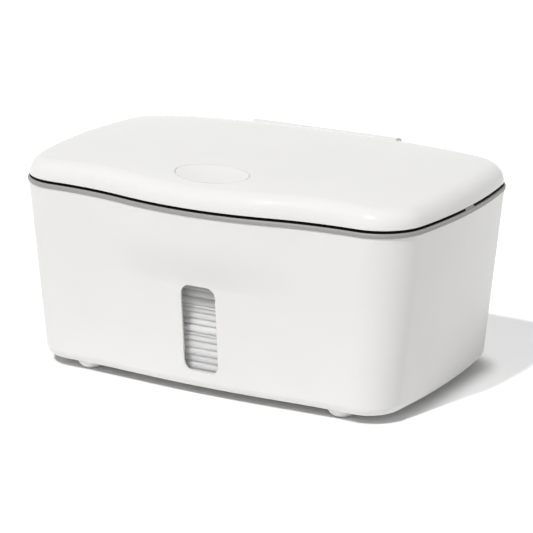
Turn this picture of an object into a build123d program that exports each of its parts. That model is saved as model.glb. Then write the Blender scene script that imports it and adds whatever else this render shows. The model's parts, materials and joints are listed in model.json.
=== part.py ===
from build123d import *
from math import atan2, cos, degrees, radians, sin
import os

# Countertop wipes dispenser: a tapered tub with a level window, a grey rim ring, a domed lid on a
# sprung rear hinge, a push button that draws a latch bolt, and a weighted plate on the wipes.
# Millimetres. +X runs along the long side, +Y to the back, +Z up, and the feet stand on Z = 0.
# The origin is the middle of the part's outline, seen from above.

os.makedirs("parts", exist_ok=True)

# ---------------------------------------------------------------- driving dimensions
# tub
length = 226.0              # rim ring, end to end
depth = 141.6               # brow of the rim ring to the back of the hinge housing
base_z = 4.1                # underside of the tub
rim_z = 93.4                # top edge of the tub wall
wall = 2.8
floor = 3.0
foot_shrink_end = 10.3      # how far each end draws in from rim to foot
foot_shrink_front = 3.3
foot_shrink_back = 3.3
end_bow_rim = 7.6           # bow of each end, in plan
end_bow_foot = 5.0
back_bow = 2.0
corner_rim = 24.0
corner_foot = 18.0
foot_round = 4.5            # rounding between the walls and the underside
brow = 9.1                  # how far the front swells at the rim
brow_waist = 4.9            # what is left of that swell just under the brow
brow_foot = 2.8             # and at the tub's base
brow_side = 32.0            # straight front beside the brow, to the end of the rim ring
brow_start = 39.0           # depths below the rim between which the brow sweeps out
brow_end = 16.0

# level window
window_x = 1.5              # middle of the window, along X
window_w = 19.2
window_low = 13.0
window_high = 57.5
window_r = 5.0
pane_t = 1.5
pane_border = 3.0           # how far the pane reaches behind the wall around the window

# clearances
fit_gap = 0.15              # between pieces of one body
run_gap = 0.3               # between pieces that move past each other
press_gap = 0.05            # round a pin, peg or screw in its own hole

# rim ring
band_t = 2.2
band_proud = 0.5            # how far it stands out from the tub
band_round = 0.6
ledge_w = 7.4               # tub's outer face to the edge of the mouth
mouth_set = 13.0            # back of the mouth, in front of the hinge axis
mouth_r = 14.0
skirt_t = 1.4
skirt_h = 6.0
pad_l = 9.0                 # pads that the lid's ends come down on
pad_w = 2.4
pad_y = 2.3

# lid
lid_gap = 1.5               # rim ring to the lower edge of the lid
lid_h = 14.3                # lower edge of the lid to its highest point
lid_in = 0.75               # lid's edge inside the rim ring's
lid_wall = 2.2
crown_x = 3.6               # fall of the lid's top towards the ends
crown_y = 1.9               # and towards the front and back
shoulder = 2.3              # extra fall close to the edge
lid_upright = 5.3           # what the rounding leaves of the lid's height
boss_r = 3.4
boss_end = 35.0             # screw bosses, in from the ends, the front and the back of the rim ring
boss_front = 25.7
boss_back = 33.3

# liner under the lid, and its gasket
liner_up = 0.3              # liner's underside above the lid's lower edge
liner_t = 1.6
liner_in = 4.2              # tub's outer face to the liner's edge
liner_over = 4.0            # its reach behind the mouth
gasket_in = 5.2
gasket_w = 1.8
gasket_over = 3.0
gasket_groove = 0.8
gasket_lip = 0.35           # its flat lip shows under the lid's edge, this far inside the tub's face

# hinge
hinge_setback = 4.7         # hinge axis inside the back of the rim ring
hinge_up = 5.1              # hinge axis above the lid's lower edge
barrel_r = 6.2
barrel_half = 42.0
barrel_gap = 0.4            # lid's recess round the barrel
chamber_r = 4.6
chamber_in = 16.0           # the barrel is solid between its two spring chambers
bush_t = 3.0
hinge_pin_r = 1.5
hinge_pin_half = 46.0
pin_clear = 0.06
ear_t = 4.6
ear_r = 4.9
recess_wall = 2.2
housing_seat = 1.2          # thickness of the housing's seat on the rim ring
seat_reach = 5.0            # and its reach in front of the hinge axis
saddle_t = 2.6              # tongue of the housing, inside the rear wall
saddle_set = 1.2            # and how far it stands in from that wall
saddle_drop = 15.0          # its reach below the rim
saddle_screw_x = 30.0
saddle_screw_drop = 10.0
hinge_coil_r = 3.2
hinge_wire = 0.7
hinge_turns = 4

# push button
button_set = 22.6           # middle of the button behind the brow
button_a = 19.6             # half axes of the button's ellipse
button_b = 11.3
button_gap = 0.25
button_travel = 2.5
cap_t = 6.8                 # underside of the button's cap to the top of the lid
dish_depth = 1.3            # thumb dish, below its outline's front and rear
collar_t = 1.6              # wall round the button's hole
tab_x = 23.5
tab_y = 8.0
tab_t = 1.5
stem_x = 34.0
stem_y = 9.0
stem_h = 4.2
post_r = 1.9                # pegs that hold the springs' ends
post_h = 3.0
spring_x = 13.0
spring_coil_r = 2.6
spring_wire = 0.6
spring_turns = 4

# latch
well_x = 37.0               # inside of the latch well
well_before = 7.8           # its reach before and behind the button's middle
well_behind = 14.2
well_wall = 1.6
well_depth = 10.5           # its floor below the lid's lower edge
bolt_w = 16.0
bolt_t = 3.2
bolt_reach = 5.9            # bolt tip behind the brow's inner face
bolt_lead = 1.2
cam_pin_r = 1.0
cam_pin_set = 2.2           # cam pin behind the button's middle
cam_pin_rise = 4.5          # and above the bolt's underside
cam_clear = 0.1
cam_ear = 2.6
cam_foot_t = 6.0            # plate of the button that the cam slot is cut in
cam_foot_front = 4.0        # its reach before and behind the cam pin
cam_foot_back = 5.0
cam_foot_under = 2.0
catch_w = 18.0
catch_gap = 1.0             # catch lip to bolt tip, along Y
catch_h = 8.0               # catch below its lip
catch_t = 2.0
catch_set = 0.9             # catch's seat in from the tub wall
stake_r = 1.1
stake_head = 0.8

# weighted plate and wipes
stack_end = 24.0            # ends of the wipes, in from the ends of the rim ring
stack_clear = 1.6           # back of the wipes, in front of the mouth's
stack_drop = 26.0           # top of the wipes below the rim
stack_in = 1.5              # between the wipes and the wall
stack_r = 2.0
plate_end = 18.0            # plate in from the ends and front of the rim ring and the back of the mouth
plate_set = 8.2
plate_clear = 2.1
plate_r = 17.0
plate_t = 10.0
plate_wall = 1.8
plate_base_t = 2.6
plate_round = 3.0
slot_l = 84.0
slot_w = 34.0
slot_rim = 2.2
weight_l = 40.0
weight_w = 70.0
weight_t = 5.0
weight_end = 26.0           # middle of each weight, in from the plate's end
plate_boss_r = 2.8
plate_screw_end = 50.0      # plate's screws, in from its ends and its long sides
plate_screw_side = 11.5

# feet
foot_end = 41.6             # foot centre to the end of the rim ring
foot_in = 11.0              # foot centre to the tub's front and back, at the underside
foot_r = 7.0
foot_flat = 3.2
foot_sink = 1.0

# screws
screw_r = 1.2
screw_head_r = 2.6
screw_head_t = 1.4
screw_length = 4.6
screw_boss_r = 3.2
screw_hole = 0.15

# ---------------------------------------------------------------- places that follow
half_length = length / 2
brow_half_width = half_length - brow_side
brow_low = rim_z - brow_start
brow_high = rim_z - brow_end
brow_y = -depth / 2
front_y = brow_y + brow                             # front of the rim ring, beside the brow
hinge_y = depth / 2 - barrel_r
mouth_back = hinge_y - mouth_set
back_y = hinge_y + hinge_setback - back_bow         # back of the rim ring, at its corners
mid_y = (front_y + back_y) / 2
half_depth = (back_y - front_y) / 2
band_top = rim_z + band_t
floor_z = base_z + floor
foot_x = half_length - foot_end
lid_z = band_top + lid_gap
lid_top = lid_z + lid_h
lid_round = lid_h - lid_upright
boss_x = half_length - boss_end
lid_edge = lid_in - band_proud                      # lid's edge inside the tub's outer face
liner_z = lid_z + liner_up
liner_top = liner_z + liner_t
liner_back = mouth_back + liner_over
gasket_back = mouth_back + gasket_over
hinge_z = lid_z + hinge_up
inner_front = brow_y + band_proud + wall            # inner face of the brow, at its middle
inner_back = back_y + back_bow - band_proud - wall  # inner face of the rear wall, at its middle
saddle_back = inner_back - saddle_set
saddle_front = saddle_back - saddle_t
saddle_low = rim_z - saddle_drop
saddle_screw_z = rim_z - saddle_screw_drop
button_y = brow_y + button_set
button_base = lid_top - cap_t
stem_z = button_base - stem_h
well_front = button_y - well_before
well_back = button_y + well_behind
well_floor = lid_z - well_depth
bolt_tip = inner_front + bolt_reach
bolt_back = well_back - button_travel - run_gap
catch_back = inner_front + catch_set
catch_front = catch_back + catch_t
catch_tip = bolt_tip - catch_gap
bolt_z = well_floor + run_gap
cam_pin_y = button_y + cam_pin_set
cam_pin_z = bolt_z + cam_pin_rise
catch_lip = bolt_z + bolt_t + run_gap
catch_low = catch_lip - catch_h
catch_top = rim_z - run_gap
stack_x = length - 2 * stack_end
stack_back = mouth_back - stack_clear
stack_top = rim_z - stack_drop
plate_z = stack_top + run_gap
plate_x = length - 2 * plate_end
plate_front = front_y + plate_set
plate_back = mouth_back - plate_clear
weight_x = plate_x / 2 - weight_end
plate_screw_x = plate_x / 2 - plate_screw_end
plate_screw_y = (plate_back - plate_front) / 2 - plate_screw_side
plate_mid = (plate_front + plate_back) / 2
window_mid = (window_low + window_high) / 2
front_wall = Plane.XZ.offset(-brow_y)


def write(piece, name):
    """Label a finished piece and write its STEP file."""
    piece.part.label = name
    export_step(piece.part, f"parts/{name}.step")


def swell(z):
    """How far the front swells at height z: a little up to the brow, then out to its full width."""
    waist = brow_foot + (brow_waist - brow_foot) * min((z - base_z) / (brow_low - base_z), 1)
    rise = min(max((z - brow_low) / (brow_high - brow_low), 0), 1)
    return waist + (brow - waist) * rise * rise * (3 - 2 * rise)


def plan(z, inset, back=None, corner=mouth_r):
    """Outline of the tub at height z, moved in by inset, and cut straight at back if it is given."""
    up = (z - base_z) / (rim_z - base_z)
    shrink = 1 - up
    end_bow = end_bow_foot + (end_bow_rim - end_bow_foot) * up
    end_x = half_length - band_proud - foot_shrink_end * shrink
    side_x = end_x - end_bow
    front = front_y + band_proud + foot_shrink_front * shrink
    rear = back_y - band_proud - foot_shrink_back * shrink
    bulge = front - swell(z)
    mid = (front + bulge) / 2
    half = brow_half_width / 2
    with BuildSketch(Plane.XY.offset(z)) as outline:
        with BuildLine():
            ThreePointArc((half, mid), (0, bulge), (-half, mid))
            for side in (-1, 1):
                TangentArc((side * 2 * half, front), (side * half, mid), tangent=(-side, 0))
                Line((side * 2 * half, front), (side * side_x, front))
                ThreePointArc((side * side_x, front), (side * end_x, (front + rear) / 2), (side * side_x, rear))
            ThreePointArc((-side_x, rear), (0, rear + back_bow), (side_x, rear))
        make_face()
        full_corner = corner_foot + (corner_rim - corner_foot) * up
        rear_corner = full_corner
        if back is not None:
            with Locations((0, back + inset)):
                Rectangle(2 * length, 2 * length, align=(Align.CENTER, Align.MAX), mode=Mode.INTERSECT)
            rear_corner = corner + inset
        corners = outline.vertices().sort_by(lambda v: abs(v.X))[-4:].sort_by(Axis.Y)
        fillet(corners[2:], rear_corner)
        corners = outline.vertices().sort_by(Axis.Y)
        fillet([v for v in corners if abs(v.X) > side_x - 0.01 and v.Y < mid_y][:2], full_corner)
        if inset:
            offset(amount=-inset)
    return outline.sketch


def tub_form(inset, low, high, foot=0):
    """The tub's tapered body between two heights, moved in by inset and rounded by foot at its base."""
    turns = [radians(45 * step) for step in range(3)]
    with BuildPart() as form:
        loft([plan(brow_low + (high - brow_low) * step / 5, inset) for step in range(6)])
        loft([plan(z, inset) for z in (low + foot, (low + foot + brow_low) / 2, brow_low)])
        if foot:
            loft([plan(low + foot * (1 - cos(turn)), inset + foot * (1 - sin(turn))) for turn in turns])
    return form.part


def slab(inset, low, high, back=None, corner=mouth_r):
    """An upright slab of the rim's outline between two heights."""
    with BuildPart() as form:
        extrude(plan(rim_z, inset, back, corner).moved(Location((0, 0, low - rim_z))), amount=high - low)
    return form.part


def lid_surface(x, y):
    """Height of the lid's top over a point."""
    along = abs(x) / half_length
    across = abs(y - mid_y) / half_depth
    return lid_top - crown_x * along**2 - crown_y * across**2 - shoulder * (along**6 + across**6)


def lid_form(thin, inset):
    """The lid's crowned body down to its lower edge, with its top lowered by thin and its sides moved in."""
    stations = [half_length * s for s in (-1.05, -0.85, -0.6, -0.3, 0, 0.3, 0.6, 0.85, 1.05)]
    across = [mid_y + half_depth * s for s in (-1.3, -1, -0.7, -0.35, 0, 0.35, 0.7, 1, 1.2)]
    sections = []
    for x in stations:
        with BuildSketch(Plane.YZ.offset(x)) as section:
            with BuildLine():
                crown = Spline([(y, lid_surface(x, y) - thin) for y in across])
                Polyline(crown @ 1, (across[-1], well_floor), (across[0], well_floor), crown @ 0)
            make_face()
        sections.append(section.sketch)
    with BuildPart() as form:
        loft(sections)
        add(slab(inset, lid_z, lid_top), mode=Mode.INTERSECT)
    return form.part


def block(low, high):
    """An upright box between two corners."""
    with BuildPart() as form:
        with Locations(low):
            Box(*(b - a for a, b in zip(low, high)), align=(Align.MIN, Align.MIN, Align.MIN))
    return form.part


def rod(radius, start, end):
    """A round bar between two points along one axis."""
    path = Vector(end) - Vector(start)
    with BuildPart() as form:
        with BuildSketch(Plane(origin=start, z_dir=path)):
            Circle(radius)
        extrude(amount=path.length)
    return form.part


def ellipse_block(grow, low, high):
    """The button's upright elliptical form between two heights, grown all round."""
    with BuildPart() as form:
        with BuildSketch(Plane.XY.offset(low)):
            with Locations((0, button_y)):
                Ellipse(button_a + grow, button_b + grow)
        extrude(amount=high - low)
    return form.part


def coil(radius, wire, turns, height, place):
    """A closed-end coil spring standing on a plane."""
    pitch = (height - 2 * wire) / turns
    with BuildPart() as form:
        with BuildLine(Plane.XY.offset(wire)):
            path = Helix(pitch=pitch, height=height - 2 * wire, radius=radius)
        with BuildSketch(Plane(origin=path @ 0, z_dir=path % 0)):
            Rectangle(wire, wire)
        sweep(is_frenet=True)
    return form.part.moved(place.location)


def screw(place):
    """A pan-head screw: its head sits on the plane and its shank runs along the plane's normal."""
    with BuildPart() as form:
        with BuildSketch(Plane.XY.offset(-screw_head_t)):
            Circle(screw_head_r)
        extrude(amount=screw_head_t)
        chamfer(form.edges().filter_by(GeomType.CIRCLE).sort_by(Axis.Z)[0], screw_head_t / 3)
        with BuildSketch():
            Circle(screw_r)
        extrude(amount=screw_length)
    return form.part.moved(place.location)


# ---------------------------------------------------------------- tub and what is fixed to it
foot_places = [
    (side * foot_x, y)
    for side in (-1, 1)
    for y in (front_y + foot_shrink_front + foot_in, back_y - foot_shrink_back - foot_in)
]
stake_places = [(side * catch_w * 0.3, (catch_low + catch_lip) / 2) for side in (-1, 1)]
saddle_screws = [(side * saddle_screw_x, saddle_screw_z) for side in (-1, 1)]
cavity = tub_form(wall, floor_z, rim_z + 1)

with BuildPart() as window_block:
    with BuildSketch(front_wall):
        with Locations((window_x, window_mid)):
            RectangleRounded(window_w + 2 * pane_border, window_high - window_low + 2 * pane_border,
                             window_r + pane_border)
    extrude(amount=-30)

with BuildPart() as window_pane:
    add(window_block)
    add(tub_form(wall - pane_t, base_z, rim_z), mode=Mode.INTERSECT)
    add(cavity, mode=Mode.SUBTRACT)
write(window_pane, "window_pane")

with BuildPart() as window_rebate:
    add(offset(window_block.part, amount=fit_gap))
    add(tub_form(wall - pane_t - fit_gap, base_z, rim_z), mode=Mode.INTERSECT)

with BuildPart() as tub_shell:
    add(tub_form(0, base_z, rim_z, foot_round))
    add(cavity, mode=Mode.SUBTRACT)
    seat_half = catch_w / 2 + 1
    add(block((-seat_half, inner_front - wall / 2, catch_low - 1), (seat_half, catch_back, catch_top)))
    for x, z in stake_places:
        add(rod(stake_r, (x, catch_back - 0.5, z), (x, catch_front + stake_head, z)))
    for x, z in saddle_screws:
        add(rod(screw_boss_r, (x, inner_back + wall / 2, z), (x, saddle_back, z)))
        pilot_end = saddle_front + screw_length + run_gap
        add(rod(screw_r + press_gap, (x, saddle_back - 1, z), (x, pilot_end, z)), mode=Mode.SUBTRACT)
    add(window_rebate, mode=Mode.SUBTRACT)
    with BuildSketch(front_wall):
        with Locations((window_x, window_mid)):
            RectangleRounded(window_w, window_high - window_low, window_r)
    extrude(amount=-30, mode=Mode.SUBTRACT)
    with BuildSketch(Plane.XY.offset(base_z)):
        with Locations(*foot_places):
            Circle(foot_r + fit_gap)
    extrude(amount=foot_sink, mode=Mode.SUBTRACT)
write(tub_shell, "tub_shell")

with BuildPart() as feet:
    for x, y in foot_places:
        with BuildSketch(Plane(origin=(x, y, 0), x_dir=(1, 0, 0), z_dir=(0, -1, 0))) as half_foot:
            with BuildLine():
                Polyline((0, base_z + foot_sink), (0, 0), (foot_flat, 0))
                dome = ThreePointArc((foot_flat, 0), (foot_r * 0.86, base_z * 0.42), (foot_r, base_z))
                Polyline(dome @ 1, (foot_r, base_z + foot_sink), (0, base_z + foot_sink))
            make_face()
        revolve(axis=Axis((x, y, 0), (0, 0, 1)))
write(feet, "feet")

with BuildPart() as rim_ring:
    add(slab(-band_proud, rim_z, band_top))
    chamfer(rim_ring.edges().group_by(Axis.Z)[-1], band_round)
    chamfer(rim_ring.edges().group_by(Axis.Z)[0], band_round / 2)
    skirt_in = wall + foot_shrink_end * skirt_h / (rim_z - base_z) + fit_gap
    add(slab(skirt_in, rim_z - skirt_h, rim_z))
    add(slab(ledge_w, rim_z - 1, band_top + 1, mouth_back), mode=Mode.SUBTRACT)
    add(slab(skirt_in + skirt_t, rim_z - skirt_h - 1, rim_z), mode=Mode.SUBTRACT)
    notch_half = catch_w / 2 + 1 + run_gap
    add(block((-notch_half, brow_y, catch_low), (notch_half, mid_y, rim_z)), mode=Mode.SUBTRACT)
    slot_half = barrel_half + run_gap
    add(block((-slot_half, saddle_front - run_gap, saddle_low), (slot_half, saddle_back + run_gap, band_top + 1)),
        mode=Mode.SUBTRACT)
    add(block((-slot_half, mid_y, saddle_low), (slot_half, inner_back + 1, rim_z)), mode=Mode.SUBTRACT)
    for side in (-1, 1):
        with Locations((side * (half_length - lid_in - pad_w / 2), pad_y, rim_z)):
            Box(pad_w, pad_l, lid_z - run_gap - rim_z, align=(Align.CENTER, Align.CENTER, Align.MIN))
write(rim_ring, "rim_ring")

with BuildPart() as latch_catch:
    add(block((-catch_w / 2, catch_back, catch_low), (catch_w / 2, catch_front, catch_top)))
    add(block((-catch_w / 2, catch_back, catch_lip), (catch_w / 2, catch_tip, catch_top)))
    lead_edge = latch_catch.edges().filter_by(Axis.X).group_by(Axis.Z)[-1].sort_by(Axis.Y)[-1]
    chamfer(lead_edge, 1)
    for x, z in stake_places:
        add(rod(stake_r + press_gap, (x, catch_back - 1, z), (x, catch_front + 1, z)), mode=Mode.SUBTRACT)
write(latch_catch, "latch_catch")

# ---------------------------------------------------------------- hinge
barrel_ends = [(side, side * barrel_half) for side in (-1, 1)]

with BuildPart() as hinge_housing:
    add(rod(barrel_r, (-barrel_half, hinge_y, hinge_z), (barrel_half, hinge_y, hinge_z)))
    add(block((-barrel_half, hinge_y, band_top), (barrel_half, hinge_y + barrel_r, hinge_z)))
    add(block((-barrel_half, hinge_y - seat_reach, band_top), (barrel_half, hinge_y, band_top + housing_seat)))
    add(block((-barrel_half, saddle_front, saddle_low), (barrel_half, saddle_back, hinge_z)))
    for side, end in barrel_ends:
        add(rod(chamber_r, (side * chamber_in, hinge_y, hinge_z), (end, hinge_y, hinge_z)), mode=Mode.SUBTRACT)
    add(rod(hinge_pin_r + press_gap, (-chamber_in - 1, hinge_y, hinge_z), (chamber_in + 1, hinge_y, hinge_z)),
        mode=Mode.SUBTRACT)
    for x, z in saddle_screws:
        add(rod(screw_r + screw_hole, (x, saddle_front - 1, z), (x, saddle_back + 1, z)), mode=Mode.SUBTRACT)
write(hinge_housing, "hinge_housing")

with BuildPart() as hinge_bushes:
    for side, end in barrel_ends:
        add(rod(chamber_r - press_gap, (end - side * bush_t, hinge_y, hinge_z), (end, hinge_y, hinge_z)))
    add(rod(hinge_pin_r + press_gap, (-barrel_half - 1, hinge_y, hinge_z), (barrel_half + 1, hinge_y, hinge_z)),
        mode=Mode.SUBTRACT)
write(hinge_bushes, "hinge_bushes")

with BuildPart() as hinge_pin:
    add(rod(hinge_pin_r, (-hinge_pin_half, hinge_y, hinge_z), (hinge_pin_half, hinge_y, hinge_z)))
    chamfer(hinge_pin.edges(), 0.3)
write(hinge_pin, "hinge_pin")

with BuildPart() as hinge_springs:
    chamber_length = barrel_half - bush_t - chamber_in - 2 * run_gap
    for side in (-1, 1):
        start = Plane(origin=(side * (chamber_in + run_gap), hinge_y, hinge_z), x_dir=(0, 1, 0), z_dir=(side, 0, 0))
        add(coil(hinge_coil_r, hinge_wire, hinge_turns, chamber_length, start))
write(hinge_springs, "hinge_springs")

with BuildPart() as housing_screws:
    for x, z in saddle_screws:
        add(screw(Plane(origin=(x, saddle_front, z), x_dir=(1, 0, 0), z_dir=(0, 1, 0))))
write(housing_screws, "housing_screws")

# ---------------------------------------------------------------- lid
with BuildPart() as lid_solid:
    add(lid_form(0, lid_edge))
    fillet(lid_solid.faces().sort_by(Axis.Z)[-1].edges(), lid_round)

with BuildPart() as lid_hollow:
    add(lid_form(lid_wall, lid_round * 0.75))
    add(slab(lid_edge + lid_wall, lid_z, lid_z + lid_round * 0.45))

recess_half = barrel_half + barrel_gap
boss_places = [
    (side * boss_x, y) for side in (-1, 1) for y in (front_y + boss_front, back_y - boss_back)
]

with BuildPart() as lid_frame:
    add(rod(barrel_r + barrel_gap + recess_wall, (-recess_half - recess_wall, hinge_y, hinge_z),
            (recess_half + recess_wall, hinge_y, hinge_z)))
    add(block((-recess_half - recess_wall, hinge_y, liner_z), (recess_half + recess_wall, depth, lid_top)))
    for side in (-1, 1):
        add(rod(ear_r, (side * recess_half, hinge_y, hinge_z), (side * (recess_half + ear_t), hinge_y, hinge_z)))
    add(ellipse_block(button_gap + collar_t, button_base + run_gap, lid_top))
    for x, y in boss_places:
        add(rod(boss_r, (x, y, liner_top), (x, y, lid_top)))
    add(lid_solid, mode=Mode.INTERSECT)

with BuildPart() as lid_shell:
    add(lid_solid)
    add(lid_hollow, mode=Mode.SUBTRACT)
    add(lid_frame)
    add(rod(barrel_r + barrel_gap, (-recess_half, hinge_y, hinge_z), (recess_half, hinge_y, hinge_z)),
        mode=Mode.SUBTRACT)
    add(block((-recess_half, hinge_y, well_floor), (recess_half, depth, lid_top)), mode=Mode.SUBTRACT)
    pin_bore = hinge_pin_half + run_gap
    add(rod(hinge_pin_r + pin_clear, (-pin_bore, hinge_y, hinge_z), (pin_bore, hinge_y, hinge_z)),
        mode=Mode.SUBTRACT)
    add(ellipse_block(button_gap, lid_z, lid_top + 1), mode=Mode.SUBTRACT)
    for x, y in boss_places:
        add(rod(screw_r + press_gap, (x, y, liner_top - 1), (x, y, liner_z + screw_length + run_gap)),
            mode=Mode.SUBTRACT)
write(lid_shell, "lid_shell")

with BuildPart() as lid_liner:
    add(slab(liner_in, liner_z, liner_top, liner_back))
    add(slab(gasket_in, liner_z, liner_z + gasket_groove, gasket_back)
        - slab(gasket_in + gasket_w, liner_z, liner_z + gasket_groove, gasket_back - gasket_w), mode=Mode.SUBTRACT)
    add(block((-well_x / 2 - well_wall, well_front - well_wall, well_floor - well_wall),
              (well_x / 2 + well_wall, well_back + well_wall, liner_top)))
    add(block((-well_x / 2, well_front, well_floor), (well_x / 2, well_back, liner_top)), mode=Mode.SUBTRACT)
    slot_side = bolt_w / 2 + run_gap
    add(block((-slot_side, well_front - 2 * well_wall, well_floor), (slot_side, well_front, catch_lip)),
        mode=Mode.SUBTRACT)
    for side in (-1, 1):
        add(rod(post_r, (side * spring_x, button_y, well_floor), (side * spring_x, button_y, well_floor + post_h)))
    for x, y in boss_places:
        add(rod(screw_r + screw_hole, (x, y, liner_z - 1), (x, y, liner_top + 1)), mode=Mode.SUBTRACT)
write(lid_liner, "lid_liner")

with BuildPart() as lid_gasket:
    gasket_top = liner_z + gasket_groove - fit_gap
    trim = fit_gap
    lip_top = lid_z - fit_gap
    add(slab(gasket_lip, band_top + run_gap, lip_top))
    pad_clear = 1.5 * run_gap
    for side in (-1, 1):
        with Locations((side * half_length, pad_y, lip_top)):
            Box(2 * (lid_in + pad_w + pad_clear), pad_l + 2 * pad_clear, lip_top, mode=Mode.SUBTRACT)
    add(block((-length, hinge_y, band_top), (length, depth, lid_z)), mode=Mode.SUBTRACT)
    seat_front = hinge_y - seat_reach - run_gap
    add(block((-recess_half - run_gap, seat_front, band_top), (recess_half + run_gap, depth, lid_z)),
        mode=Mode.SUBTRACT)
    add(slab(gasket_in + trim, band_top + run_gap, gasket_top, gasket_back - trim))
    add(slab(gasket_in + gasket_w - trim, band_top, lid_z + 2, gasket_back - gasket_w + trim), mode=Mode.SUBTRACT)
write(lid_gasket, "lid_gasket")

with BuildPart() as liner_screws:
    for x, y in boss_places:
        add(screw(Plane(origin=(x, y, liner_z))))
write(liner_screws, "liner_screws")

# ---------------------------------------------------------------- push button and latch
with BuildPart() as push_button:
    add(ellipse_block(0, button_base, lid_top + 1))
    add(lid_solid, mode=Mode.INTERSECT)
    dish_front = lid_surface(0, button_y - button_b)
    dish_rear = lid_surface(0, button_y + button_b)
    dish_slope = degrees(atan2(dish_rear - dish_front, 2 * button_b))
    dish_z = (dish_front + dish_rear) / 2 - dish_depth
    end_depth = lid_surface(button_a, button_y) - dish_z
    dish_across = button_b**2 / (2 * dish_depth) + dish_depth / 2
    dish_along = button_a**2 / (2 * end_depth) + end_depth / 2
    dish_up = (button_y - dish_along * sin(radians(dish_slope)), dish_z + dish_along * cos(radians(dish_slope)))
    with Locations((0, dish_up[0], dish_up[1])):
        Torus(
            dish_along - dish_across,
            dish_across,
            rotation=(dish_slope - 90, 0, 0),
            mode=Mode.SUBTRACT,
        )
    with Locations((0, button_y, button_base)):
        Box(2 * tab_x, tab_y, tab_t, align=(Align.CENTER, Align.CENTER, Align.MAX))
    with Locations((0, button_y, stem_z)):
        Box(stem_x, stem_y, button_base - stem_z, align=(Align.CENTER, Align.CENTER, Align.MIN))
    for side in (-1, 1):
        add(rod(post_r, (side * spring_x, button_y, stem_z), (side * spring_x, button_y, stem_z - post_h)))
    add(block((-cam_foot_t / 2, cam_pin_y - cam_foot_front, cam_pin_z - cam_foot_under),
              (cam_foot_t / 2, cam_pin_y + cam_foot_back, button_base)))
    slot_mid = (0, cam_pin_y + button_travel / 2, cam_pin_z + button_travel / 2)
    with BuildSketch(Plane(origin=slot_mid, x_dir=(0, 1, 1), z_dir=(1, 0, 0))):
        SlotCenterToCenter(button_travel * 2**0.5, 2 * (cam_pin_r + cam_clear))
    extrude(amount=cam_foot_t, both=True, mode=Mode.SUBTRACT)
write(push_button, "push_button")

with BuildPart() as button_springs:
    for side in (-1, 1):
        foot = Plane(origin=(side * spring_x, button_y, well_floor))
        add(coil(spring_coil_r, spring_wire, spring_turns, stem_z - well_floor, foot))
write(button_springs, "button_springs")

with BuildPart() as latch_bolt:
    add(block((-bolt_w / 2, bolt_tip, bolt_z), (bolt_w / 2, bolt_back, bolt_z + bolt_t)))
    tip_edge = latch_bolt.edges().filter_by(Axis.X).group_by(Axis.Z)[0].sort_by(Axis.Y)[0]
    chamfer(tip_edge, bolt_lead)
    ear_in = cam_foot_t / 2 + run_gap
    for side in (-1, 1):
        add(rod(2 * cam_pin_r, (side * ear_in, cam_pin_y, cam_pin_z),
                (side * (ear_in + cam_ear), cam_pin_y, cam_pin_z)))
    add(block((-ear_in - cam_ear, cam_pin_y - 2 * cam_pin_r, bolt_z),
              (ear_in + cam_ear, cam_pin_y + 2 * cam_pin_r, cam_pin_z)))
    add(block((-ear_in, cam_pin_y - cam_foot_front - button_travel - run_gap, bolt_z - 1),
              (ear_in, cam_pin_y + cam_foot_back + run_gap, lid_top)), mode=Mode.SUBTRACT)
    add(rod(cam_pin_r + press_gap, (-bolt_w, cam_pin_y, cam_pin_z), (bolt_w, cam_pin_y, cam_pin_z)),
        mode=Mode.SUBTRACT)
write(latch_bolt, "latch_bolt")

with BuildPart() as cam_pin:
    pin_half = cam_foot_t / 2 + run_gap + cam_ear
    add(rod(cam_pin_r, (-pin_half, cam_pin_y, cam_pin_z), (pin_half, cam_pin_y, cam_pin_z)))
write(cam_pin, "cam_pin")

# ---------------------------------------------------------------- weighted plate and wipes
plate_screws_at = [
    (side * plate_screw_x, plate_mid + end * plate_screw_y) for side in (-1, 1) for end in (-1, 1)
]


def plate_block(inset, low, high):
    """The weighted plate's rounded outline, moved in by inset, between two heights."""
    with BuildPart() as form:
        with BuildSketch(Plane.XY.offset(low)):
            with Locations((0, plate_mid)):
                RectangleRounded(plate_x - 2 * inset, plate_back - plate_front - 2 * inset, plate_r - inset)
        extrude(amount=high - low)
    return form.part


def slot_block(grow, low, high):
    """The wipes slot's oval, grown all round, between two heights."""
    with BuildPart() as form:
        with BuildSketch(Plane.XY.offset(low)):
            with Locations((0, plate_mid)):
                SlotOverall(slot_l + 2 * grow, slot_w + 2 * grow)
        extrude(amount=high - low)
    return form.part


cover_in = plate_z + plate_t - plate_wall
with BuildPart() as plate_cover:
    add(plate_block(0, plate_z, plate_z + plate_t))
    fillet(plate_cover.edges().group_by(Axis.Z)[-1], plate_round)
    add(plate_block(plate_wall, plate_z, cover_in) - slot_block(slot_rim, plate_z, cover_in), mode=Mode.SUBTRACT)
    for x, y in plate_screws_at:
        add(rod(plate_boss_r, (x, y, plate_z + plate_base_t), (x, y, cover_in + plate_wall / 2)))
    add(slot_block(0, plate_z, plate_z + plate_t), mode=Mode.SUBTRACT)
    mouth_edges = plate_cover.faces().sort_by(Axis.Z)[-1].inner_wires().edges()
    chamfer(mouth_edges, slot_rim * 0.8)
    for x, y in plate_screws_at:
        pilot_top = plate_z + screw_head_t + screw_length + run_gap
        add(rod(screw_r + press_gap, (x, y, plate_z), (x, y, pilot_top)), mode=Mode.SUBTRACT)
write(plate_cover, "plate_cover")

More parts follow.
